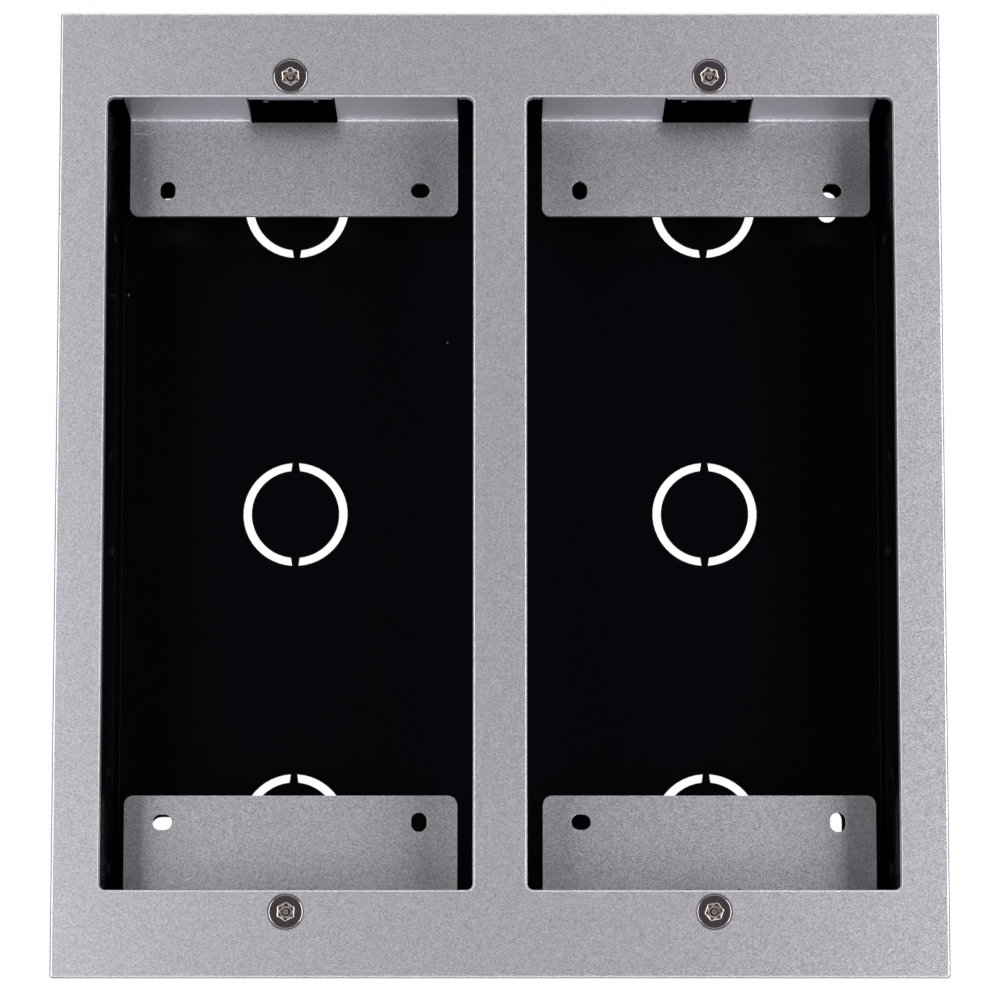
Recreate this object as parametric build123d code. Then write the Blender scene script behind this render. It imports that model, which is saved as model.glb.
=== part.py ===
from build123d import *
import os

# A steel back box for an intercom, with a front frame that holds two columns of modules.
# The frame is a flat plate with two tall openings. Four angle brackets sit in its openings and
# carry the modules. Four security screws hold the frame to clip nuts on the box's folded lugs.
# X is the width, Z is up and -Y is the front. The origin is the middle of the box's back face,
# where the box meets the wall that it is fixed to. All sizes are in millimetres.

# Front frame
opening_width = 85.6
opening_height = 185.3
opening_corner_radius = 1.5
mullion_width = 12.6
side_rail_width = 11.1
end_rail_width = 20.1
frame_thickness = 2.5
frame_corner_radius = 0.6
edge_rounding = 0.5
rebate_lip = 0.8
rebate_gap = 0.45

# Module brackets
bracket_sheet = 1.5
bracket_bend_radius = 0.6
bracket_side_gap = 3.75
bracket_setback = 24.6
bracket_drop = 23.5
bracket_corner_radius = 2.2
notch_width = 20.7
notch_below_bend = 0.85
notch_corner_radius = 0.4
module_slot_width = 3.7
module_slot_length = 4.6
module_slot_spacing = 60.2
module_slot_from_tip = 6.2

# Folded back box
box_side_step = 0.3
box_end_reach = 10.9
box_depth = 42.0
box_sheet = 1.2
box_bend_radius = 1.0
knockout_diameter = 25.0
knockout_slit = 2.0
knockout_bridge_outside = 1.5
knockout_bridge_inside = 2.1
knockout_pitch = 75.0
wall_slot_width = 4.5
wall_slot_length = 7.6
wall_slot_from_side = 13.7

# Folded lugs on the box's top and bottom walls
lug_width = 12.8
lug_bend_radius = 0.6
lug_relief_width = 1.0
lug_end_gap = 0.15
lug_hole_diameter = 5.0

# Clip nuts that wrap the ends of the lugs
clip_sheet = 0.5
clip_bend_radius = 0.2
clip_leg = 9.2
clip_strap_width = 1.1
clip_window_reach = 1.6
clip_hole_diameter = 4.6
collar_diameter = 6.4
collar_length = 3.0

# Countersunk security screws
screw_from_opening = 5.0
screw_diameter = 4.0
screw_length = 12.0
screw_tip_chamfer = 0.5
head_diameter = 8.0
head_rim = 0.2
head_bevel = 0.45
head_sink = 0.05
sink_clearance = 0.08
thread_clearance = 0.05
frame_hole_clearance = 0.3
lobe_outer_diameter = 3.95
lobe_inner_diameter = 2.85
lobe_flank_radius = 0.9
lobe_tip_radius = 0.2
lobe_depth = 1.5
lobe_count = 6
mouth_diameter = 4.45
mouth_depth = 0.4
pin_diameter = 1.25
pin_gap_below_face = 0.25
pin_dimple_diameter = 0.5
pin_dimple_depth = 0.15
moat_diameter = 1.95
moat_depth = 0.35
screw_turn = {"upper_left": 33.0, "upper_right": 43.0, "lower_left": 27.0, "lower_right": 10.0}

# Places worked out from the sizes above
column_pitch = opening_width + mullion_width
opening_edge_x = column_pitch / 2 + opening_width / 2
opening_edge_z = opening_height / 2
frame_width = 2 * (opening_edge_x + side_rail_width)
frame_height = 2 * (opening_edge_z + end_rail_width)
total_depth = box_depth + frame_thickness
front_y = -total_depth
frame_back_y = front_y + frame_thickness
bracket_width = opening_width - 2 * bracket_side_gap
box_width = 2 * (opening_edge_x - box_side_step + box_sheet)
box_height = 2 * (opening_edge_z + box_end_reach)
screw_z = opening_edge_z + screw_from_opening
column_x = {"left": -column_pitch / 2, "right": column_pitch / 2}
lug_front_y = frame_back_y + clip_sheet
lug_back_y = lug_front_y + box_sheet
lug_end_z = opening_edge_z + lug_end_gap


def at_four_places(piece):
    """Put copies of a piece made at the top of a column at X = 0 at both ends of both columns.

    The lower copies are the upper ones turned half a turn about the front-to-back axis."""
    copies = {}
    for side, x in column_x.items():
        copies["upper_" + side] = Pos(x, 0, 0) * piece
        copies["lower_" + side] = Pos(x, 0, 0) * Rot(0, 180, 0) * piece
    return copies


def block(x_range, y_range, z_range):
    """Make a box from its lowest and highest X, Y and Z."""
    sizes = [high - low for low, high in (x_range, y_range, z_range)]
    middle = [(high + low) / 2 for low, high in (x_range, y_range, z_range)]
    return Pos(*middle) * Box(*sizes)


def rounded_block(width, height, radius, y_range):
    """Make a block centred on the Y axis whose four front-to-back edges are rounded."""
    depth = y_range[1] - y_range[0]
    solid = Pos(0, (y_range[0] + y_range[1]) / 2, 0) * Box(width, depth, height)
    return fillet(solid.edges().filter_by(Axis.Y), radius)


def folded_angle(corner, leg_a, leg_b, sheet, inner_radius, width):
    """Fold a strip of sheet into an angle and extrude it across X, centred on X = 0.

    The corner is the inside of the bend as (y, z). Each leg is a (y, z) vector from it along
    the inside of the fold, and the sheet's thickness lies on the outside."""
    cy, cz = corner
    ay, az = leg_a
    by, bz = leg_b
    length_a = abs(ay + az)
    length_b = abs(by + bz)
    out_a = (-by / length_b * sheet, -bz / length_b * sheet)
    out_b = (-ay / length_a * sheet, -az / length_a * sheet)
    points = [
        (cy + ay, cz + az),
        (cy, cz),
        (cy + by, cz + bz),
        (cy + by + out_b[0], cz + bz + out_b[1]),
        (cy + out_a[0] + out_b[0], cz + out_a[1] + out_b[1]),
        (cy + ay + out_a[0], cz + az + out_a[1]),
    ]
    face = make_face(Polyline(*points, close=True))
    inner = face.vertices().sort_by_distance((points[1][0], points[1][1], 0))[0]
    face = fillet(inner, inner_radius)
    outer = face.vertices().sort_by_distance((points[4][0], points[4][1], 0))[0]
    face = fillet(outer, inner_radius + sheet)
    return extrude(Plane.YZ * face, amount=width / 2, both=True)


def slot_cutter(length, width, along_x, depth):
    """Make a cutter for a round-ended slot that goes through a wall facing Y."""
    turn = 0 if along_x else 90
    outline = Rot(0, 0, turn) * SlotOverall(length, width)
    return extrude(Plane.XZ * outline, amount=depth, both=True)


def front_frame():
    """Make the plate with its two openings, the bracket rebates and the countersunk holes."""
    plate = rounded_block(frame_width, frame_height, frame_corner_radius, (front_y, frame_back_y))
    window = rounded_block(
        opening_width, opening_height, opening_corner_radius,
        (front_y - frame_thickness, frame_back_y + frame_thickness),
    )
    for x in column_x.values():
        plate -= Pos(x, 0, 0) * window
    front_face = plate.faces().sort_by(Axis.Y)[0]
    plate = fillet(front_face.edges(), edge_rounding)

    seats = [bracket_rebate(1), bracket_rebate(-1)]
    for seat in seats:
        for cutter in at_four_places(seat).values():
            plate -= cutter
    for cutter in at_four_places(screw_hole()).values():
        plate -= cutter
    return plate


def bracket_rebate(side):
    """Make the cutter for the rebate that takes one tongue of a bracket's flange."""
    tongue_start = notch_width / 2 - rebate_gap
    tongue_end = bracket_width / 2 + rebate_gap
    x_range = sorted((side * tongue_start, side * tongue_end))
    return block(
        x_range,
        (front_y + rebate_lip, frame_back_y + frame_thickness),
        (opening_edge_z - bracket_sheet, opening_edge_z + bracket_sheet),
    )


def screw_hole():
    """Make the cutter for a screw's countersunk hole in the frame."""
    mouth = head_diameter / 2 + sink_clearance
    bore = screw_diameter / 2 + frame_hole_clearance
    rim = head_sink + head_rim
    outline = [
        (0, -frame_thickness),
        (mouth, -frame_thickness),
        (mouth, rim),
        (bore, rim + mouth - bore),
        (bore, 2 * frame_thickness),
        (0, 2 * frame_thickness),
    ]
    return turned(outline)


def turned(outline):
    """Turn an outline of (radius, depth behind the frame's face) points about a screw's axis."""
    face = make_face(Polyline(*outline, close=True))
    return Pos(0, front_y, screw_z) * Rot(-90, 0, 0) * revolve(Plane.XZ * face, Axis.Z)


def bracket():
    """Make one upper bracket for a column at X = 0: flange, bend, plate, notch and slots."""
    plate_y = front_y + bracket_setback
    flange = bracket_setback - rebate_lip
    angle = folded_angle(
        (plate_y, opening_edge_z), (-flange, 0), (0, -bracket_drop),
        bracket_sheet, bracket_bend_radius, bracket_width,
    )
    tip_z = opening_edge_z - bracket_drop
    free_corners = [
        edge for edge in angle.edges().filter_by(Axis.Y) if abs(edge.center().Z - tip_z) < 0.01
    ]
    angle = fillet(free_corners, bracket_corner_radius)

    notch = block(
        (-notch_width / 2, notch_width / 2),
        (front_y - bracket_sheet, plate_y + 2 * bracket_sheet),
        (opening_edge_z - notch_below_bend, opening_edge_z + 2 * bracket_sheet),
    )
    notch_floor = [
        edge for edge in notch.edges().filter_by(Axis.Y) if edge.center().Z < opening_edge_z
    ]
    angle -= fillet(notch_floor, notch_corner_radius)

    slot_z = tip_z + module_slot_from_tip
    for x, along_x in ((-module_slot_spacing / 2, False), (module_slot_spacing / 2, True)):
        cutter = slot_cutter(module_slot_length, module_slot_width, along_x, 2 * bracket_sheet)
        angle -= Pos(x, plate_y, slot_z) * cutter
    return angle


def folded_block(width, height, y_range, radius):
    """Make a block with its back edges rounded as folds and its corners as dressed welds."""
    depth = y_range[1] - y_range[0]
    block = Pos(0, sum(y_range) / 2, 0) * Box(width, depth, height)
    folds = block.faces().sort_by(Axis.Y)[-1].edges()
    corners = block.edges().filter_by(Axis.Y)
    return fillet(folds + corners, radius)


def knockout_ring(depth):
    """Make the cutter for a knockout: a ring broken by two bridges, flat on XY.

    Each bridge widens towards the disc, where it is left when the disc is pushed out."""
    outer = knockout_diameter / 2
    inner = outer - knockout_slit
    ring = Circle(outer) - Circle(inner)
    taper = (knockout_bridge_inside - knockout_bridge_outside) / 2 / knockout_slit
    foot = knockout_bridge_inside / 2 + taper * knockout_slit
    tip = knockout_bridge_outside / 2 - taper * knockout_slit
    for side in (-1, 1):
        ring -= make_face(Polyline(
            (-foot, side * (inner - knockout_slit)), (foot, side * (inner - knockout_slit)),
            (tip, side * (outer + knockout_slit)), (-tip, side * (outer + knockout_slit)),
            close=True,
        ))
    return extrude(ring, amount=depth, both=True)


def lug():
    """Make one lug, folded down from the top wall at X = 0, with its screw hole."""
    wall_z = box_height / 2 - box_sheet
    bend_reach = lug_bend_radius + box_sheet
    angle = folded_angle(
        (lug_back_y, wall_z), (bend_reach, 0), (0, lug_end_z - wall_z),
        box_sheet, lug_bend_radius, lug_width,
    )
    hole = Rot(90, 0, 0) * Cylinder(lug_hole_diameter / 2, 4 * box_sheet)
    return angle - Pos(0, lug_front_y, screw_z) * hole


def lug_relief():
    """Make the cutter that frees a lug's fold from the front edge of the top wall."""
    half = lug_width / 2 + lug_relief_width
    return block(
        (-half, half),
        (frame_back_y - box_sheet, lug_back_y + lug_bend_radius + box_sheet),
        (box_height / 2 - 2 * box_sheet, box_height / 2 + box_sheet),
    )


def back_box():
    """Make the folded box with its lugs, knockouts and wall slots."""
    outer = folded_block(
        box_width, box_height, (frame_back_y, 0), box_bend_radius + box_sheet
    )
    cavity = folded_block(
        box_width - 2 * box_sheet, box_height - 2 * box_sheet,
        (frame_back_y - box_sheet, -box_sheet), box_bend_radius,
    )
    shell = outer - cavity

    for cutter in at_four_places(lug_relief()).values():
        shell -= cutter
    for piece in at_four_places(lug()).values():
        shell += piece

    ring = knockout_ring(2 * box_sheet)
    back_ring = Rot(90, 0, 0) * ring
    side_ring = Rot(0, 90, 0) * Rot(0, 0, 90) * ring
    middle_y = (frame_back_y - box_sheet) / 2
    for z in (-knockout_pitch, 0, knockout_pitch):
        for x in column_x.values():
            shell -= Pos(x, 0, z) * back_ring
        for x in (-box_width / 2, box_width / 2):
            shell -= Pos(x, middle_y, z) * side_ring

    for sign_z in (-1, 1):
        for sign_x in (-1, 1):
            slot = slot_cutter(wall_slot_length, wall_slot_width, sign_x < 0, 2 * box_sheet)
            x = sign_x * (box_width / 2 - wall_slot_from_side)
            shell -= Pos(x, 0, sign_z * knockout_pitch) * slot
    return shell


def clip_nut():
    """Make one clip nut: a strip folded round the lug's end, with a threaded collar behind."""
    half = lug_width / 2
    foot_z = lug_end_z - clip_sheet
    outside = block((-half, half), (frame_back_y, lug_back_y + clip_sheet), (foot_z, foot_z + clip_leg))
    foot_edges = [
        edge for edge in outside.edges().filter_by(Axis.X) if abs(edge.center().Z - foot_z) < 0.01
    ]
    outside = fillet(foot_edges, clip_sheet + clip_bend_radius)
    inside = block(
        (-half - clip_sheet, half + clip_sheet),
        (lug_front_y, lug_back_y),
        (lug_end_z, lug_end_z + 2 * clip_leg),
    )
    clip = outside - inside

    window_half = half - clip_strap_width
    window = block(
        (-window_half, window_half),
        (frame_back_y - clip_sheet, lug_back_y + 2 * clip_sheet),
        (foot_z - clip_sheet, foot_z + clip_window_reach),
    )
    clip -= window

    front_hole = Rot(90, 0, 0) * Cylinder(clip_hole_diameter / 2, 4 * clip_sheet)
    clip -= Pos(0, frame_back_y, screw_z) * front_hole

    clip_back = lug_back_y + clip_sheet - front_y
    bore = screw_diameter / 2
    collar = turned([
        (bore, clip_back - clip_sheet),
        (collar_diameter / 2, clip_back - clip_sheet),
        (collar_diameter / 2, clip_back + collar_length),
        (bore, clip_back + collar_length),
    ])
    bore_cutter = turned([
        (0, clip_back - clip_sheet - box_sheet / 2),
        (bore, clip_back - clip_sheet - box_sheet / 2),
        (bore, clip_back + collar_length + clip_sheet),
        (0, clip_back + collar_length + clip_sheet),
    ])
    return (clip + collar) - bore_cutter


def screw():
    """Make one countersunk screw with a six-lobed recess and a pin in its middle.

    The recess opens in a cone, and a moat runs round the foot of the pin."""
    shank = screw_diameter / 2 - thread_clearance
    head = head_diameter / 2
    neck_depth = head_sink + head_rim + head - shank
    end_depth = head_sink + screw_length
    body = turned([
        (0, head_sink),
        (head - head_bevel, head_sink),
        (head, head_sink + head_rim),
        (shank, neck_depth),
        (shank, end_depth - screw_tip_chamfer),
        (shank - screw_tip_chamfer, end_depth),
        (0, end_depth),
    ])
    recess = Pos(0, front_y + head_sink, screw_z) * Rot(90, 0, 0) * six_lobe_recess()
    mouth_slope = (mouth_diameter - lobe_inner_diameter) / 2 / mouth_depth
    recess += turned([
        (0, head_sink - mouth_depth),
        (mouth_diameter / 2 + mouth_slope * mouth_depth, head_sink - mouth_depth),
        (lobe_inner_diameter / 2, head_sink + mouth_depth),
        (0, head_sink + mouth_depth),
    ])
    moat_floor = head_sink + lobe_depth + moat_depth
    recess += turned([
        (0, head_sink + lobe_depth / 2),
        (moat_diameter / 2, head_sink + lobe_depth / 2),
        (moat_diameter / 2, moat_floor),
        (0, moat_floor),
    ])
    pin_top = head_sink + pin_gap_below_face
    pin_foot = moat_floor + moat_depth
    pin = turned([
        (0, pin_top + pin_dimple_depth),
        (pin_dimple_diameter / 2, pin_top),
        (pin_diameter / 2, pin_top),
        (pin_diameter / 2, pin_foot),
        (0, pin_foot),
    ])
    return (body - recess) + pin


def six_lobe_recess():
    """Make the cutter for a six-lobed recess that opens at Z = 0 and goes down to -Z."""
    flank_centre = lobe_inner_diameter / 2 + lobe_flank_radius
    half_step = 180 / lobe_count
    outline = Circle(lobe_outer_diameter / 2)
    for place in PolarLocations(flank_centre, lobe_count, start_angle=half_step):
        outline -= place * Circle(lobe_flank_radius)
    outline = fillet(outline.vertices(), lobe_tip_radius)
    return extrude(outline, amount=-lobe_depth) + extrude(outline, amount=lobe_depth)


def write_part(name, solid):
    """Write one named piece to its own STEP file."""
    export_step(solid, "parts/" + name + ".step")


os.makedirs("parts", exist_ok=True)
write_part("front_frame", front_frame())
write_part("back_box", back_box())
for prefix, piece in (("bracket", bracket()), ("clip_nut", clip_nut())):
    for place, copy in at_four_places(piece).items():
        write_part(prefix + "_" + place, copy)
plain_screw = screw()
screw_axis = Axis((0, 0, screw_z), (0, 1, 0))
for place, turn in screw_turn.items():
    write_part("screw_" + place, at_four_places(plain_screw.rotate(screw_axis, -turn))[place])
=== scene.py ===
import math

import bpy
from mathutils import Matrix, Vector


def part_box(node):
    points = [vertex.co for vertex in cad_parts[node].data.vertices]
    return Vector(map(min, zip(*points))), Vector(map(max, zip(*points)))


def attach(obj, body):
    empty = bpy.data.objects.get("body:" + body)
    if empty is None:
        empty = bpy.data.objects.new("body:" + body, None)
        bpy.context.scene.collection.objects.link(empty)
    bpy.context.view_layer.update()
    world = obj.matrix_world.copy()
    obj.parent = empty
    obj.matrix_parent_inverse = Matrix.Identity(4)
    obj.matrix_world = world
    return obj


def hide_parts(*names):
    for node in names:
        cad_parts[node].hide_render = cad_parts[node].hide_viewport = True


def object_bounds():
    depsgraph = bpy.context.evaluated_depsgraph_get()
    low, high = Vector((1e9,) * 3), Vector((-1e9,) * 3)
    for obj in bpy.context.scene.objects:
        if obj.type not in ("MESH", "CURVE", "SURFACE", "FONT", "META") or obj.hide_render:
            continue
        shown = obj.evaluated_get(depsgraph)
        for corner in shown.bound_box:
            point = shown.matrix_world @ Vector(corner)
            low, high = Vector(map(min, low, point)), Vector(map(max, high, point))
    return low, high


# The finishes, screw threads and studio of a steel back box for an intercom.
# Everything is in metres, in the model's own frame: X is the width, Z is up and -Y is the front.

MM = 0.001

# Camera, measured from the middle of the front frame's face
CAMERA_DISTANCE = 1154.0 * MM
CAMERA_DROP = 161.1 * MM
CAMERA_PITCH = math.radians(7.824)
CAMERA_LENS = 181.17

# Security screws
LOBE_OUTER = 3.95 * MM
LOBE_INNER = 2.85 * MM
LOBE_FLANK_RADIUS = 0.9 * MM
LOBE_BLEND = 0.12 * MM
LOBE_COUNT = 6
LOBE_DEPTH = 1.5 * MM
MOUTH_DIAMETER = 4.5 * MM
MOUTH_ROUNDNESS = 0.65
MOUTH_FLARE = 1.17
MOUTH_LIP_RADIUS = 0.5 * MM
MOUTH_SLOPE_ANGLE = math.radians(42)
MOUTH_STEPS = (0.0, 0.1, 0.2, 0.3, 0.42, 0.6, 1.0)
MOAT_DIAMETER = 1.95 * MM
MOAT_DEPTH = 0.35 * MM
PIN_DIAMETER = 1.25 * MM
PIN_TOP = 0.25 * MM
PIN_CHAMFER = 0.1 * MM
DIMPLE_DIAMETER = 0.5 * MM
DIMPLE_DEPTH = 0.3 * MM
HEAD_RIM = 0.2 * MM
HEAD_EDGE_START = 3.66 * MM
HEAD_EDGE_END = 3.9 * MM
HEAD_EDGE_RADIUS = 0.45 * MM
HEAD_EDGE_STEPS = 6
HEAD_LEDGE = 0.16 * MM
THREAD_PITCH = 0.7 * MM
THREAD_CREST = 1.95 * MM
THREAD_ROOT = 1.62 * MM
THREAD_STEEPNESS = 5.2
TIP_CHAMFER = 0.5 * MM
SCREW_SEGMENTS = 96
THREAD_ROWS = 12
SCREW_SMOOTH_ANGLE = 32
SCREW_TURN = {"upper_left": 33.0, "upper_right": 43.0, "lower_left": 27.0, "lower_right": 10.0}

# Marks of use, in millimetres, each as two ends and a half width. Those on the plates and
# flanges are scratches in the silver paint, those in the box are specks of dust.
PLATE_Y = -19.9
FLANGE_Z = 92.65
BACK_Y = -1.2
SCRATCHES = (
    ((-87.6, PLATE_Y, 89.04), (-86.1, PLATE_Y, 89.14), 0.09),
    ((-86.1, PLATE_Y, 89.14), (-83.9, PLATE_Y, 88.85), 0.09),
    ((-83.9, PLATE_Y, 88.85), (-82.3, PLATE_Y, 89.65), 0.05),
    ((-84.5, PLATE_Y, 78.4), (-84.9, PLATE_Y, 77.6), 0.12),
    ((60.0, PLATE_Y, 89.3), (61.4, PLATE_Y, 90.8), 0.05),
    ((61.4, PLATE_Y, 90.8), (63.6, PLATE_Y, 91.35), 0.05),
    ((63.6, PLATE_Y, 91.35), (66.0, PLATE_Y, 91.25), 0.05),
    ((-80.3, -37.8, FLANGE_Z), (-81.0, -32.6, FLANGE_Z), 0.08),
    ((-81.0, -32.6, FLANGE_Z), (-82.2, -27.6, FLANGE_Z), 0.08),
    ((-82.2, -27.6, FLANGE_Z), (-83.9, -24.6, FLANGE_Z), 0.06),
)
SPECKS = (
    ((-89.7, BACK_Y, 53.2), (-89.6, BACK_Y, 53.5), 0.14),
    ((-12.7, BACK_Y, 41.7), (-12.6, BACK_Y, 41.7), 0.14),
)

# Silver powder coat
SILVER_FLAKE = 0.16 * MM
SILVER_TILT = 0.02
SILVER_EDGE = 0.15 * MM
SILVER_WARM = (0.434, 0.406, 0.436)
SILVER_COOL = (0.405, 0.400, 0.445)
SILVER_ROUGH = (0.29, 0.33)
SILVER_EDGE_ROUGH = 0.4
SILVER_METALLIC = 0.92
SCRATCH_COLOUR = (0.86, 0.85, 0.88)
SCRATCH_STRENGTH = 0.8

# Painted light and shade in the silver paint's colour: painted light beside the upper folds,
# painted shade under the notches there, round the screws and on the rounded rims
FOLD_REACH = 8.0 * MM
NOTCH_HALF = 11.0 * MM
NOTCH_BLEND = 1.5 * MM
NOTCH_SHADE = 1.3
# The painted shadow round each screw head starts at the countersink's edge
SINK_EDGE = 4.1 * MM
SINK_REACH = 0.25 * MM
RIM_SHADE_EVERYWHERE = 0.25

# Black powder coat
BLACK_GRAIN = 0.38 * MM
BLACK_PEEL = 2.0 * MM
BLACK_RANGE = ((0.0003, 0.00022, 0.0005), (0.0008, 0.0006, 0.0013))
BLACK_BUMP = 0.02 * MM
BLACK_BUMP_STRENGTH = 0.25
INNER_ROUGH = (0.12, 0.17)
OUTER_ROUGH = (0.42, 0.48)
FOLD_ROUGH = 0.45
FOLD_FULL_BELOW = 0.985
FOLD_FLAT_ABOVE = 0.999
BLACK_GLOSS = 0.25
DUST_COLOUR = (0.08, 0.05, 0.035)
SHEET_MIDDLE = 0.6 * MM

# Zinc plate
ZINC_MOTTLE = 1.4 * MM
ZINC_RANGE = ((0.07, 0.07, 0.075), (0.12, 0.12, 0.125))
ZINC_ROUGH = (0.32, 0.46)

# Screw steel
TURNING_PITCH = 0.09 * MM
STEEL_RANGE = ((0.076, 0.064, 0.068), (0.092, 0.077, 0.083))
STEEL_ROUGH = (0.10, 0.14)
STEEL_METALLIC = 0.8
RIM_COLOUR = (0.18, 0.16, 0.16)
LIP_COLOUR = (0.28, 0.26, 0.255)
RECESS_FLOOR_COLOUR = (0.80, 0.70, 0.67)
PIN_COLOUR = (0.34, 0.29, 0.28)
# The pin's dimple gets a dark colour as painted shade in its hollow
DIMPLE_PAINTED_SHADE = (0.05, 0.04, 0.04)
LOBE_COLOUR = (0.34, 0.20, 0.13)
RECESS_RADIUS = 2.4 * MM
RECESS_FLOOR_FADE = (0.25 * MM, 0.4 * MM)
LIP_FADE = (0.0, 0.04 * MM)
LOBE_DEPTH_FADE = (0.45 * MM, 0.75 * MM)
LOBE_RADIUS_FADE = (1.3 * MM, 1.5 * MM)
RIM_MARGIN_INSIDE = 0.02 * MM
RIM_MARGIN_OUTSIDE = 0.01 * MM
PIN_MARGIN = 0.01 * MM
# Painted shade deep in the moat round the pin
MOAT_SHADE = 0.15

# How much of a powder coat's height is grain, beside its orange peel
GRAIN_SHARE = 0.35

# Where a line mark starts and ends to fade, in its own half widths
LINE_FADE = (0.6, 1.6)

# The middle stretch of a noise's values, which the finishes spread over their whole range
NOISE_LOW = 0.3
NOISE_HIGH = 0.7

# Studio
WORLD_LIGHT = 0.02
FLOOR_DROP = 0.79
FLOOR_SIZE = (14.0, 14.0)
FLOOR_COLOUR = (0.86, 0.86, 0.87, 1)
CLOTH_COLOUR = (0.04, 0.04, 0.045, 1)
HUNG_CLOTH_SIZE = (12.0, 7.0)
HUNG_CLOTH_PLACE = (0, -2.4, 0.4)
LAID_CLOTH_SIZE = (5.0, 2.2)
LAID_CLOTH_PLACE = (0, -1.25, -0.89)
LAMP_TARGET = (0, -0.04, 0)

# Each soft box's place, its width and height, and its power in watts
SOFT_BOXES = {
    "left_soft_box": ((-0.8, -1.0, -0.05), (0.85, 1.1), 23.5),
    "right_soft_box": ((0.8, -1.0, 0.0), (0.6, 1.3), 32.0),
    "top_soft_box": ((0, -0.8, 1.1), (1.6, 1.0), 12.5),
    "low_soft_box": ((0, -1.05, -0.6), (1.4, 0.4), 2.6),
    "under_soft_box": ((0, -0.55, -0.7), (1.4, 0.6), 3.2),
}


def new_object(name, mesh):
    """Put a mesh in the scene under a name."""
    made = bpy.data.objects.new(name, mesh)
    bpy.context.scene.collection.objects.link(made)
    return made


def smooth_by_angle(mesh, degrees):
    """Shade a mesh smooth, with hard edges where faces meet at more than this angle."""
    mesh.shade_smooth()
    mesh.set_sharp_from_angle(angle=math.radians(degrees))


# Node helpers


class Graph:
    """The nodes of one material or node group, with short calls to add and join them."""

    def __init__(self, tree):
        self.tree = tree
        self.column = 0

    def add(self, kind, values=None, links=None, **settings):
        """Add a node, set its properties and socket values, and link sockets to it."""
        node = self.tree.nodes.new(kind)
        node.location = (self.column, 0)
        self.column += 180
        for key, value in settings.items():
            setattr(node, key, value)
        for key, value in (values or {}).items():
            node.inputs[key].default_value = value
        for key, socket in (links or {}).items():
            self.tree.links.new(socket, node.inputs[key])
        return node

    def math(self, operation, a, b=0.5, clamp=False):
        """Add a maths node whose inputs are sockets or numbers."""
        node = self.add("ShaderNodeMath", operation=operation, use_clamp=clamp)
        for place, value in enumerate((a, b)):
            if hasattr(value, "links"):
                self.tree.links.new(value, node.inputs[place])
            else:
                node.inputs[place].default_value = value
        return node.outputs[0]

    def remap(self, value, low, high, to_low=0.0, to_high=1.0):
        """Stretch a value from one range to another, held inside the new one."""
        node = self.add(
            "ShaderNodeMapRange",
            values={"From Min": low, "From Max": high, "To Min": to_low, "To Max": to_high},
            links={"Value": value},
        )
        return node.outputs["Result"]

    def mix(self, factor, a, b, blend="MIX"):
        """Mix two colours, each given as a socket or as (r, g, b)."""
        node = self.add("ShaderNodeMix", data_type="RGBA", blend_type=blend)
        for key, value in ((0, factor), (6, a), (7, b)):
            if hasattr(value, "links"):
                self.tree.links.new(value, node.inputs[key])
            elif key == 0:
                node.inputs[key].default_value = value
            else:
                node.inputs[key].default_value = (*value, 1.0)
        return node.outputs[2]

    def group(self, tree, values=None, links=None):
        """Place a node group with its own values."""
        return self.add("ShaderNodeGroup", values=values, links=links, node_tree=tree)


def new_group(name, inputs, outputs):
    """Start a node group. Inputs and outputs are (name, socket kind, value) and (name, kind)."""
    tree = bpy.data.node_groups.new(name, "ShaderNodeTree")
    for label, kind, value in inputs:
        socket = tree.interface.new_socket(name=label, in_out="INPUT", socket_type=kind)
        socket.default_value = value
    for label, kind in outputs:
        tree.interface.new_socket(name=label, in_out="OUTPUT", socket_type=kind)
    graph = Graph(tree)
    return graph, graph.add("NodeGroupInput"), graph.add("NodeGroupOutput")


def flake_group():
    """Metallic flakes: each cell has its own tone and its own tilt."""
    graph, given, out = new_group(
        "Metallic Flakes",
        [("Position", "NodeSocketVector", (0, 0, 0)), ("Normal", "NodeSocketVector", (0, 0, 1)),
         ("Flake Size", "NodeSocketFloat", 0.3 * MM), ("Tilt", "NodeSocketFloat", 0.2)],
        [("Tone", "NodeSocketFloat"), ("Hue", "NodeSocketFloat"), ("Normal", "NodeSocketVector")],
    )
    scale = graph.math("DIVIDE", 1.0, given.outputs["Flake Size"])
    cells = graph.add(
        "ShaderNodeTexVoronoi", values={"Randomness": 1.0},
        links={"Vector": given.outputs["Position"], "Scale": scale},
        voronoi_dimensions="3D", feature="F1",
    )
    centred = graph.add(
        "ShaderNodeVectorMath", values={1: (0.5, 0.5, 0.5)},
        links={0: cells.outputs["Color"]}, operation="SUBTRACT",
    )
    leaned = graph.add(
        "ShaderNodeVectorMath",
        links={0: centred.outputs[0], "Scale": given.outputs["Tilt"]}, operation="SCALE",
    )
    summed = graph.add(
        "ShaderNodeVectorMath",
        links={0: given.outputs["Normal"], 1: leaned.outputs[0]}, operation="ADD",
    )
    unit = graph.add(
        "ShaderNodeVectorMath", links={0: summed.outputs[0]}, operation="NORMALIZE"
    )
    parts = graph.add("ShaderNodeSeparateColor", links={0: cells.outputs["Color"]})
    graph.tree.links.new(parts.outputs[0], out.inputs["Tone"])
    graph.tree.links.new(parts.outputs[1], out.inputs["Hue"])
    graph.tree.links.new(unit.outputs[0], out.inputs["Normal"])
    return graph.tree


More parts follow.
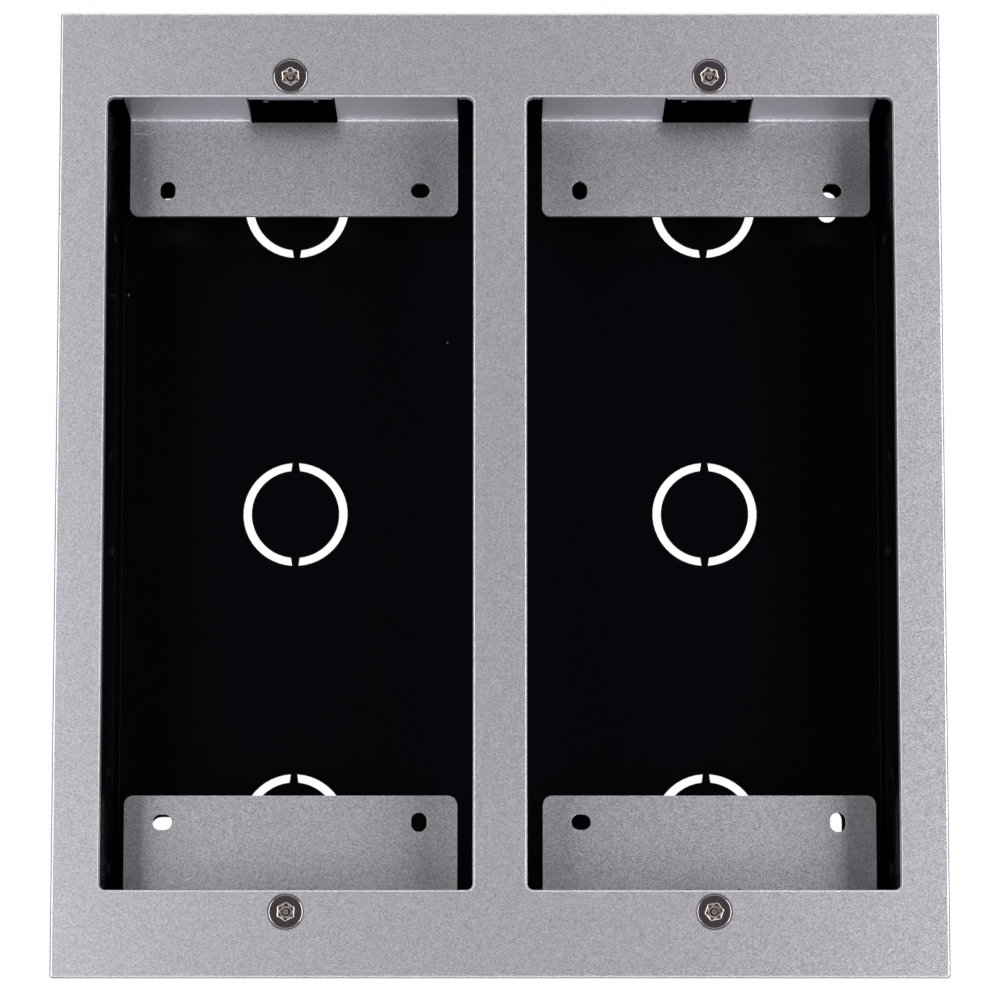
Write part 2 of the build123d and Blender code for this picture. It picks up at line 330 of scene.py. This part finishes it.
def powder_group():
    """The skin of a powder coat: a fine grain over soft orange peel, as a height and a tone."""
    graph, given, out = new_group(
        "Powder Skin",
        [("Position", "NodeSocketVector", (0, 0, 0)), ("Grain Size", "NodeSocketFloat", 0.4 * MM),
         ("Peel Size", "NodeSocketFloat", 2.2 * MM)],
        [("Height", "NodeSocketFloat"), ("Tone", "NodeSocketFloat")],
    )
    fine = graph.add(
        "ShaderNodeTexNoise", values={"Detail": 2.0, "Roughness": 0.6},
        links={"Vector": given.outputs["Position"],
               "Scale": graph.math("DIVIDE", 1.0, given.outputs["Grain Size"])},
    )
    peel = graph.add(
        "ShaderNodeTexNoise", values={"Detail": 1.0, "Roughness": 0.4},
        links={"Vector": given.outputs["Position"],
               "Scale": graph.math("DIVIDE", 1.0, given.outputs["Peel Size"])},
    )
    height = graph.math(
        "ADD", graph.math("MULTIPLY", fine.outputs["Fac"], GRAIN_SHARE), peel.outputs["Fac"]
    )
    graph.tree.links.new(height, out.inputs["Height"])
    graph.tree.links.new(fine.outputs["Fac"], out.inputs["Tone"])
    return graph.tree


def edge_group():
    """A mask that is 1 on rounded edges and folds, where the surface faces no single axis.

    Sideways is the same mask times how far the edge faces left or right."""
    graph, given, out = new_group(
        "Edge Mark",
        [("Normal", "NodeSocketVector", (0, 0, 1)), ("Full Below", "NodeSocketFloat", 0.93),
         ("Flat Above", "NodeSocketFloat", 0.99)],
        [("Mask", "NodeSocketFloat"), ("Sideways", "NodeSocketFloat")],
    )
    parts = graph.add("ShaderNodeSeparateXYZ", links={0: given.outputs["Normal"]})
    x, y, z = [graph.math("ABSOLUTE", parts.outputs[axis]) for axis in "XYZ"]
    largest = graph.math("MAXIMUM", x, graph.math("MAXIMUM", y, z))
    mask = graph.add(
        "ShaderNodeMapRange", values={"To Min": 1.0, "To Max": 0.0},
        links={
            "Value": largest, "From Min": given.outputs["Full Below"],
            "From Max": given.outputs["Flat Above"],
        },
    ).outputs["Result"]
    graph.tree.links.new(mask, out.inputs["Mask"])
    graph.tree.links.new(graph.math("MULTIPLY", mask, x), out.inputs["Sideways"])
    return graph.tree


def line_group():
    """A mask that is 1 along a short line between two points and fades out beside it."""
    graph, given, out = new_group(
        "Line Mark",
        [("Position", "NodeSocketVector", (0, 0, 0)), ("Start", "NodeSocketVector", (0, 0, 0)),
         ("End", "NodeSocketVector", (1, 0, 0)), ("Half Width", "NodeSocketFloat", 0.1 * MM)],
        [("Mask", "NodeSocketFloat")],
    )

    def vector(operation, a, b):
        return graph.add("ShaderNodeVectorMath", links={0: a, 1: b}, operation=operation)

    start = given.outputs["Start"]
    along = vector("SUBTRACT", given.outputs["End"], start).outputs[0]
    off = vector("SUBTRACT", given.outputs["Position"], start).outputs[0]
    share = graph.math(
        "DIVIDE", vector("DOT_PRODUCT", off, along).outputs["Value"],
        vector("DOT_PRODUCT", along, along).outputs["Value"], clamp=True,
    )
    nearest = graph.add(
        "ShaderNodeVectorMath", links={0: along, "Scale": share}, operation="SCALE"
    ).outputs[0]
    away = vector("DISTANCE", off, nearest).outputs["Value"]
    near = graph.math("DIVIDE", away, given.outputs["Half Width"])
    mask = graph.remap(near, *LINE_FADE, 1.0, 0.0)
    graph.tree.links.new(mask, out.inputs["Mask"])
    return graph.tree


def all_marks(graph, tree, place, marks):
    """Join the masks of several marks into one value."""
    total = None
    for start, end, half_width in marks:
        mask = graph.group(
            tree,
            values={"Start": [v * MM for v in start], "End": [v * MM for v in end],
                    "Half Width": half_width * MM},
            links={"Position": place},
        ).outputs["Mask"]
        total = mask if total is None else graph.math("MAXIMUM", total, mask)
    return total


def finish_material(name):
    """Start a material with one Principled shader and the position of each surface point."""
    material = bpy.data.materials.new(name)
    material.use_nodes = True
    material.node_tree.nodes.clear()
    graph = Graph(material.node_tree)
    shader = graph.add("ShaderNodeBsdfPrincipled")
    out = graph.add("ShaderNodeOutputMaterial", links={"Surface": shader.outputs[0]})
    out.location = (400, 200)
    place = graph.add("ShaderNodeTexCoord").outputs["Object"]
    return material, graph, shader, place


def from_nearest_screw(graph, parts, screw_place):
    """How far a point lies from the nearest screw's middle, across and upright."""
    mirrored_x = graph.math("ABSOLUTE", parts.outputs["X"])
    off_x = graph.math("ABSOLUTE", graph.math("SUBTRACT", mirrored_x, abs(screw_place.x)))
    mirrored_z = graph.math("ABSOLUTE", parts.outputs["Z"])
    off_z = graph.math("SUBTRACT", mirrored_z, screw_place.z)
    return off_x, off_z


def light_by_fold(graph, parts, off_x):
    """Painted light that grows towards the upper folds, and painted shade under the notches."""
    beside = graph.remap(off_x, NOTCH_HALF - NOTCH_BLEND, NOTCH_HALF + NOTCH_BLEND)
    flange, plate = FLANGE_Z * MM, PLATE_Y * MM
    near_flange = graph.remap(parts.outputs["Z"], flange - FOLD_REACH, flange)
    near_plate = graph.remap(parts.outputs["Y"], plate - FOLD_REACH, plate)
    near_fold = graph.math("POWER", graph.math("MULTIPLY", near_flange, near_plate), 2.0)
    light = graph.math("MULTIPLY", near_fold, graph.math("MULTIPLY", beside, 1.0 + NOTCH_SHADE))
    return graph.math("SUBTRACT", light, graph.math("MULTIPLY", near_fold, NOTCH_SHADE))


def shadow_round_screw(graph, off_x, off_z, depth):
    """A painted shadow: a dark ring in the paint round each screw head."""
    squares = [graph.math("MULTIPLY", off, off) for off in (off_x, off_z)]
    away = graph.math("SQRT", graph.math("ADD", *squares))
    return graph.remap(away, SINK_EDGE, SINK_EDGE + SINK_REACH, depth, 0.0)


def silver_paint(
    groups, name, screw_place, tone, contrast, rim_shade=0.0, fold_light=0.0, screw_shade=0.0
):
    """Silver powder coat: fine metallic flakes in a grey coat with a faint violet cast."""
    material, graph, shader, place = finish_material(name)
    softened = graph.add("ShaderNodeBevel", values={"Radius": SILVER_EDGE}, samples=4).outputs[0]
    flakes = graph.group(
        groups["flakes"], values={"Flake Size": SILVER_FLAKE, "Tilt": SILVER_TILT},
        links={"Position": place, "Normal": softened},
    )

    def flake_range(colour):
        dark = [tone * (1 - contrast) * channel for channel in colour]
        light = [tone * (1 + contrast) * channel for channel in colour]
        return graph.mix(flakes.outputs["Tone"], dark, light)

    paint = graph.mix(flakes.outputs["Hue"], flake_range(SILVER_WARM), flake_range(SILVER_COOL))
    scratched = all_marks(graph, groups["line"], place, SCRATCHES)
    scratched = graph.math("MULTIPLY", scratched, SCRATCH_STRENGTH)
    colour = graph.mix(scratched, paint, SCRATCH_COLOUR)

    rim = graph.group(groups["edge"], links={"Normal": softened})
    edge = rim.outputs["Mask"]
    parts = graph.add("ShaderNodeSeparateXYZ", links={0: place})
    off_x, off_z = from_nearest_screw(graph, parts, screw_place)
    # Painted shade on the rounded rims, most on those that face left or right towards the side lamps
    shaded = graph.math("MULTIPLY", edge, RIM_SHADE_EVERYWHERE)
    shaded = graph.math("ADD", rim.outputs["Sideways"], shaded)
    level = graph.math("SUBTRACT", 1.0, graph.math("MULTIPLY", shaded, rim_shade))
    # Painted light beside the upper folds and painted shade under the notches
    light = light_by_fold(graph, parts, off_x)
    level = graph.math("ADD", level, graph.math("MULTIPLY", light, fold_light))
    # Painted shadow round each screw head, for the gap at the countersink
    ring = shadow_round_screw(graph, off_x, off_z, screw_shade)
    level = graph.math("MULTIPLY", level, graph.math("SUBTRACT", 1.0, ring))
    shade = graph.add("ShaderNodeCombineColor", links={0: level, 1: level, 2: level}).outputs[0]
    colour = graph.mix(1.0, colour, shade, "MULTIPLY")

    flat_rough = graph.remap(flakes.outputs["Tone"], 0.0, 1.0, *SILVER_ROUGH)
    edge_rough = graph.math("MULTIPLY", edge, SILVER_EDGE_ROUGH)
    rough = graph.math("ADD", flat_rough, edge_rough, clamp=True)
    graph.tree.links.new(colour, shader.inputs["Base Color"])
    graph.tree.links.new(rough, shader.inputs["Roughness"])
    graph.tree.links.new(flakes.outputs["Normal"], shader.inputs["Normal"])
    shader.inputs["Metallic"].default_value = SILVER_METALLIC
    return material


def inside_mask(graph, place, high):
    """A mask that is 1 on the box's inner faces and 0 on its outer ones."""
    parts = graph.add("ShaderNodeSeparateXYZ", links={0: place})
    inside = graph.math("LESS_THAN", parts.outputs["Y"], high.y - SHEET_MIDDLE)
    for axis, reach in (("X", high.x), ("Z", high.z)):
        off_middle = graph.math("ABSOLUTE", parts.outputs[axis])
        within = graph.math("LESS_THAN", off_middle, reach - SHEET_MIDDLE)
        inside = graph.math("MULTIPLY", inside, within)
    return inside


def black_paint(groups, high):
    """Black powder coat: glossy inside the box, satin on its outer faces, dull in its folds."""
    material, graph, shader, place = finish_material("black powder coat")
    skin = graph.group(
        groups["powder"], values={"Grain Size": BLACK_GRAIN, "Peel Size": BLACK_PEEL},
        links={"Position": place},
    )
    grain = skin.outputs["Tone"]
    paint = graph.mix(graph.remap(grain, NOISE_LOW, NOISE_HIGH), *BLACK_RANGE)
    dust = all_marks(graph, groups["line"], place, SPECKS)
    colour = graph.mix(dust, paint, DUST_COLOUR)

    surface = graph.add("ShaderNodeNewGeometry").outputs["Normal"]
    fold = graph.group(
        groups["edge"], values={"Full Below": FOLD_FULL_BELOW, "Flat Above": FOLD_FLAT_ABOVE},
        links={"Normal": surface},
    ).outputs["Mask"]
    inside = inside_mask(graph, place, high)
    flat_rough = graph.remap(grain, NOISE_LOW, NOISE_HIGH, *INNER_ROUGH)
    fold_rough = graph.math("MULTIPLY", fold, FOLD_ROUGH)
    inner_rough = graph.math("ADD", flat_rough, fold_rough, clamp=True)
    outer_rough = graph.remap(grain, NOISE_LOW, NOISE_HIGH, *OUTER_ROUGH)
    rough = graph.math(
        "ADD", graph.math("MULTIPLY", inside, inner_rough),
        graph.math("MULTIPLY", graph.math("SUBTRACT", 1.0, inside), outer_rough),
    )
    bump = graph.add(
        "ShaderNodeBump", values={"Strength": BLACK_BUMP_STRENGTH, "Distance": BLACK_BUMP},
        links={"Height": skin.outputs["Height"]},
    )
    graph.tree.links.new(colour, shader.inputs["Base Color"])
    graph.tree.links.new(rough, shader.inputs["Roughness"])
    graph.tree.links.new(bump.outputs[0], shader.inputs["Normal"])
    # A metallic black reflects nothing face on, so the inner folds stay as dark as the walls.
    graph.tree.links.new(graph.math("MULTIPLY", fold, inside), shader.inputs["Metallic"])
    shader.inputs["Specular IOR Level"].default_value = BLACK_GLOSS
    return material


def zinc_steel():
    """Zinc plated spring steel, softly mottled."""
    material, graph, shader, place = finish_material("zinc plate")
    mottle = graph.add(
        "ShaderNodeTexNoise", values={"Scale": 1 / ZINC_MOTTLE, "Detail": 3.0},
        links={"Vector": place},
    )
    colour = graph.mix(graph.remap(mottle.outputs["Fac"], NOISE_LOW, NOISE_HIGH), *ZINC_RANGE)
    rough = graph.remap(mottle.outputs["Fac"], NOISE_LOW, NOISE_HIGH, *ZINC_ROUGH)
    graph.tree.links.new(colour, shader.inputs["Base Color"])
    graph.tree.links.new(rough, shader.inputs["Roughness"])
    shader.inputs["Metallic"].default_value = 1.0
    return material


def screw_steel():
    """Dark polished steel with turning marks, pale in the recess and brown in its lobes."""
    material, graph, shader, place = finish_material("polished screw steel")
    parts = graph.add("ShaderNodeSeparateXYZ", links={0: place})
    depth = parts.outputs["Y"]
    flat = graph.add(
        "ShaderNodeCombineXYZ", links={"X": parts.outputs["X"], "Z": parts.outputs["Z"]}
    )
    away = graph.add(
        "ShaderNodeVectorMath", links={0: flat.outputs[0]}, operation="LENGTH"
    ).outputs["Value"]
    rings = graph.add(
        "ShaderNodeTexNoise", values={"Scale": 1 / TURNING_PITCH, "Detail": 2.0},
        links={"W": away}, noise_dimensions="1D",
    ).outputs["Fac"]

    near_axis = graph.math("LESS_THAN", away, RECESS_RADIUS)
    on_rim = graph.math(
        "MULTIPLY", graph.math("GREATER_THAN", away, HEAD_EDGE_START - RIM_MARGIN_INSIDE),
        graph.math("LESS_THAN", away, HEAD_EDGE_END - RIM_MARGIN_OUTSIDE),
    )
    on_lip = graph.math("MULTIPLY", graph.remap(depth, *LIP_FADE), near_axis)
    on_floor = graph.math("MULTIPLY", graph.remap(depth, *RECESS_FLOOR_FADE), near_axis)
    on_pin = graph.math("LESS_THAN", away, PIN_DIAMETER / 2 + PIN_MARGIN)
    in_dimple = graph.math("LESS_THAN", away, DIMPLE_DIAMETER / 2)
    in_lobe = graph.math(
        "MULTIPLY", graph.remap(depth, *LOBE_DEPTH_FADE), graph.remap(away, *LOBE_RADIUS_FADE)
    )
    in_lobe = graph.math("MULTIPLY", in_lobe, near_axis)
    colour = graph.mix(graph.remap(rings, NOISE_LOW, NOISE_HIGH), *STEEL_RANGE)
    # Of these tints, the dimple's dark one is painted shade in its hollow
    for mask, tint in (
        (on_rim, RIM_COLOUR), (on_lip, LIP_COLOUR), (on_floor, RECESS_FLOOR_COLOUR),
        (on_pin, PIN_COLOUR), (in_dimple, DIMPLE_PAINTED_SHADE), (in_lobe, LOBE_COLOUR),
    ):
        colour = graph.mix(mask, colour, tint)
    # Painted shade that darkens the colour below the lobes' floor, in the moat round the pin
    moat = graph.remap(depth, LOBE_DEPTH, LOBE_DEPTH + MOAT_DEPTH, 1.0, MOAT_SHADE)
    shade = graph.add("ShaderNodeCombineColor", links={0: moat, 1: moat, 2: moat}).outputs[0]
    colour = graph.mix(near_axis, colour, graph.mix(1.0, colour, shade, "MULTIPLY"))

    rough = graph.remap(rings, NOISE_LOW, NOISE_HIGH, *STEEL_ROUGH)
    graph.tree.links.new(colour, shader.inputs["Base Color"])
    graph.tree.links.new(rough, shader.inputs["Roughness"])
    shader.inputs["Metallic"].default_value = STEEL_METALLIC
    return material


# Threaded screws


def lobe_radius(angle):
    """The six-lobed recess's radius at an angle from the middle of a lobe."""
    step = 2 * math.pi / LOBE_COUNT
    off_flank = (angle % step) - step / 2
    flank_centre = LOBE_INNER / 2 + LOBE_FLANK_RADIUS
    across = flank_centre * math.sin(off_flank)
    outer = LOBE_OUTER / 2
    if abs(across) >= LOBE_FLANK_RADIUS:
        return outer
    flank = flank_centre * math.cos(off_flank) - math.sqrt(LOBE_FLANK_RADIUS**2 - across**2)
    share = max(0.0, min(1.0, 0.5 + 0.5 * (outer - flank) / LOBE_BLEND))
    return outer * (1 - share) + flank * share - LOBE_BLEND * share * (1 - share)


def thread_radius(angle, depth, start):
    """The radius of the thread's surface at an angle and a depth under the face."""
    turn = ((depth - start) / THREAD_PITCH - angle / (2 * math.pi)) % 1.0
    ridge = max(0.0, min(1.0, 2.0 - abs(turn - 0.5) * THREAD_STEEPNESS))
    fade = min(1.0, max(0.0, (depth - start) / THREAD_PITCH))
    return THREAD_ROOT + (THREAD_CREST - THREAD_ROOT) * ridge * fade


def screw_rings(head_radius, length):
    """List the screw's rings from the pin's dimple round to the tip.

    Each ring is a function of the angle that gives its radius and its depth under the face."""
    lip_reach = MOUTH_LIP_RADIUS * math.sin(MOUTH_SLOPE_ANGLE)
    moat_floor = LOBE_DEPTH + MOAT_DEPTH
    neck = HEAD_RIM + head_radius - THREAD_CREST
    thread_start = neck + THREAD_PITCH

    def plain(radius, depth):
        return lambda angle: (radius, depth)

    def mouth(share):
        def ring(angle):
            lobed = MOUTH_FLARE * lobe_radius(angle)
            top = MOUTH_ROUNDNESS * MOUTH_DIAMETER / 2 + (1 - MOUTH_ROUNDNESS) * lobed
            inward = (top - lobe_radius(angle)) * share
            on_lip = min(inward, lip_reach)
            depth = MOUTH_LIP_RADIUS - math.sqrt(MOUTH_LIP_RADIUS**2 - on_lip**2)
            depth += (inward - on_lip) * math.tan(MOUTH_SLOPE_ANGLE)
            return top - inward, depth
        return ring

    rings = [
        plain(DIMPLE_DIAMETER / 2, PIN_TOP),
        plain(PIN_DIAMETER / 2 - PIN_CHAMFER, PIN_TOP),
        plain(PIN_DIAMETER / 2, PIN_TOP + PIN_CHAMFER),
        plain(PIN_DIAMETER / 2, moat_floor),
        plain(MOAT_DIAMETER / 2, moat_floor),
        plain(MOAT_DIAMETER / 2, LOBE_DEPTH),
        lambda angle: (lobe_radius(angle), LOBE_DEPTH),
    ]
    rings += [mouth(share) for share in reversed(MOUTH_STEPS)]
    for step in range(HEAD_EDGE_STEPS + 1):
        radius = HEAD_EDGE_START + (HEAD_EDGE_END - HEAD_EDGE_START) * step / HEAD_EDGE_STEPS
        drop = HEAD_EDGE_RADIUS**2 - (radius - HEAD_EDGE_START) ** 2
        rings.append(plain(radius, HEAD_EDGE_RADIUS - math.sqrt(drop)))
    rings += [
        plain(HEAD_EDGE_END, HEAD_LEDGE),
        plain(head_radius, HEAD_LEDGE),
        plain(head_radius, HEAD_RIM),
        plain(THREAD_CREST, neck),
        plain(THREAD_CREST, thread_start - THREAD_PITCH / 2),
    ]
    threaded = length - thread_start - TIP_CHAMFER
    rows = round(threaded / THREAD_PITCH * THREAD_ROWS)
    for row in range(rows + 1):
        depth = thread_start + threaded * row / rows
        rings.append(
            lambda angle, depth=depth: (thread_radius(angle, depth, thread_start), depth)
        )
    rings.append(plain(THREAD_CREST - TIP_CHAMFER, length))
    return rings


def screw_mesh(head_radius, length):
    """Make a screw's closed mesh with its head's face at Y = 0 and its shank along +Y."""
    step = 2 * math.pi / SCREW_SEGMENTS
    vertices = [(0.0, PIN_TOP + DIMPLE_DEPTH, 0.0)]
    rings = screw_rings(head_radius, length)
    for ring in rings:
        for i in range(SCREW_SEGMENTS):
            radius, depth = ring(i * step)
            vertices.append((radius * math.cos(i * step), depth, radius * math.sin(i * step)))
    vertices.append((0.0, length, 0.0))

    def at(ring, i):
        return 1 + ring * SCREW_SEGMENTS + i % SCREW_SEGMENTS

    faces = []
    last = len(rings) - 1
    for i in range(SCREW_SEGMENTS):
        faces.append((0, at(0, i), at(0, i + 1)))
        for ring in range(last):
            faces.append((at(ring, i), at(ring + 1, i), at(ring + 1, i + 1), at(ring, i + 1)))
        faces.append((at(last, i), len(vertices) - 1, at(last, i + 1)))
    mesh = bpy.data.meshes.new("screw")
    mesh.from_pydata(vertices, [], faces)
    mesh.update()
    smooth_by_angle(mesh, SCREW_SMOOTH_ANGLE)
    return mesh


def add_screws(material):
    """Stand a threaded screw in for each plain one, turned as the real ones stopped."""
    for place, turn in SCREW_TURN.items():
        node = "screw_" + place
        low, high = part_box(node)
        mesh = screw_mesh((high.x - low.x) / 2, high.y - low.y)
        mesh.materials.append(material)
        piece = new_object("threaded_" + node, mesh)
        piece.location = ((low.x + high.x) / 2, low.y, (low.z + high.z) / 2)
        piece.rotation_euler = (0, -math.radians(turn), 0)
        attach(piece, "root")
        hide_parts(node)


# Studio


def add_soft_box(name, place, size, power):
    """Hang a soft lamp at a place, aimed at the object."""
    lamp = bpy.data.lights.new(name, "AREA")
    lamp.shape = "RECTANGLE"
    lamp.size, lamp.size_y = size
    lamp.energy = power
    made = bpy.data.objects.new(name, lamp)
    made.location = place
    aim = Vector(LAMP_TARGET) - Vector(place)
    made.rotation_euler = aim.to_track_quat("-Z", "Y").to_euler()
    bpy.context.scene.collection.objects.link(made)


def add_camera(face_y):
    """Set the camera where the photograph was taken from."""
    camera = bpy.data.cameras.new("camera")
    camera.lens = CAMERA_LENS
    made = bpy.data.objects.new("camera", camera)
    made.location = (0, face_y - CAMERA_DISTANCE, -CAMERA_DROP)
    made.rotation_euler = (math.pi / 2 + CAMERA_PITCH, 0, 0)
    bpy.context.scene.collection.objects.link(made)
    bpy.context.scene.camera = made


def white_to_the_eye(graph):
    """Return a factor that is 1 for the rays that see the background, and 0 for soft light."""
    path = graph.add("ShaderNodeLightPath")
    seen = graph.math("MAXIMUM", path.outputs["Is Camera Ray"], path.outputs["Is Glossy Ray"])
    seen = graph.math("MAXIMUM", seen, path.outputs["Is Transmission Ray"])
    return seen


def add_world(strength):
    """Surround the object with plain white, and light it softly."""
    world = bpy.data.worlds.new("studio")
    world.use_nodes = True
    world.node_tree.nodes.clear()
    graph = Graph(world.node_tree)
    seen = white_to_the_eye(graph)
    level = graph.remap(seen, 0.0, 1.0, strength, 1.0)
    sky = graph.add(
        "ShaderNodeBackground", values={"Color": (1, 1, 1, 1)}, links={"Strength": level}
    )
    graph.add("ShaderNodeOutputWorld", links={"Surface": sky.outputs[0]})
    bpy.context.scene.world = world


def plane(name, size_x, size_y):
    """Make a flat panel in the XY plane, centred on its own origin."""
    mesh = bpy.data.meshes.new(name)
    x, y = size_x / 2, size_y / 2
    mesh.from_pydata([(-x, -y, 0), (x, -y, 0), (x, y, 0), (-x, y, 0)], [], [(0, 1, 2, 3)])
    return new_object(name, mesh)


def add_floor(level):
    """Lay a pale floor that is clear from below."""
    floor = plane("floor", *FLOOR_SIZE)
    floor.location = (0, 0, level)
    material = bpy.data.materials.new("pale floor")
    material.use_nodes = True
    material.node_tree.nodes.clear()
    graph = Graph(material.node_tree)
    pale = graph.add("ShaderNodeBsdfDiffuse", values={"Color": FLOOR_COLOUR})
    clear = graph.add("ShaderNodeBsdfTransparent")
    under = graph.add("ShaderNodeNewGeometry").outputs["Backfacing"]
    both = graph.add(
        "ShaderNodeMixShader", links={0: under, 1: pale.outputs[0], 2: clear.outputs[0]}
    )
    graph.add("ShaderNodeOutputMaterial", links={"Surface": both.outputs[0]})
    floor.data.materials.append(material)


def add_dark_cloths():
    """Hang a dark cloth behind the camera and lay one just over the floor, for reflections alone."""
    hung = plane("hung_cloth", *HUNG_CLOTH_SIZE)
    hung.location = HUNG_CLOTH_PLACE
    hung.rotation_euler = (-math.pi / 2, 0, 0)
    laid = plane("laid_cloth", *LAID_CLOTH_SIZE)
    laid.location = LAID_CLOTH_PLACE
    material = bpy.data.materials.new("dark cloth")
    material.use_nodes = True
    material.node_tree.nodes.clear()
    graph = Graph(material.node_tree)
    dark = graph.add("ShaderNodeBsdfDiffuse", values={"Color": CLOTH_COLOUR})
    graph.add("ShaderNodeOutputMaterial", links={"Surface": dark.outputs[0]})
    for cloth in (hung, laid):
        cloth.visible_camera = False
        cloth.visible_diffuse = False
        cloth.visible_shadow = False
        cloth.data.materials.append(material)


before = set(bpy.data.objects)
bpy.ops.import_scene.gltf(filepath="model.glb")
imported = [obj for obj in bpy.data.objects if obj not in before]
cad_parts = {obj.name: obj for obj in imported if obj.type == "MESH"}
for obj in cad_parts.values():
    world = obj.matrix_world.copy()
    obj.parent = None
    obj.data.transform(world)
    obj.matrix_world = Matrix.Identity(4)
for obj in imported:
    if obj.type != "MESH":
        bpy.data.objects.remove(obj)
cad_low, cad_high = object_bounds()
bpy.context.scene.view_settings.view_transform = "Standard"

groups = {"flakes": flake_group(), "powder": powder_group(), "edge": edge_group(),
          "line": line_group()}
screw_low, screw_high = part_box("screw_upper_left")
screw_place = (screw_low + screw_high) / 2
finishes = {
    "front_frame": silver_paint(
        groups, "silver powder coat", screw_place,
        tone=1.0, contrast=0.32, rim_shade=0.6, screw_shade=0.7,
    ),
    "bracket": silver_paint(
        groups, "silver powder coat of the brackets", screw_place,
        tone=0.9, contrast=0.42, fold_light=0.36,
    ),
    "back_box": black_paint(groups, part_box("back_box")[1]),
    "clip_nut": zinc_steel(),
    "screw": screw_steel(),
}

for name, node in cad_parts.items():
    for start, material in finishes.items():
        if name.startswith(start):
            node.data.materials.clear()
            node.data.materials.append(material)

add_screws(finishes["screw"])
add_camera(cad_low.y)
add_world(WORLD_LIGHT)
add_floor(cad_low.z - FLOOR_DROP)
add_dark_cloths()
for name, (place, size, power) in SOFT_BOXES.items():
    add_soft_box(name, place, size, power)
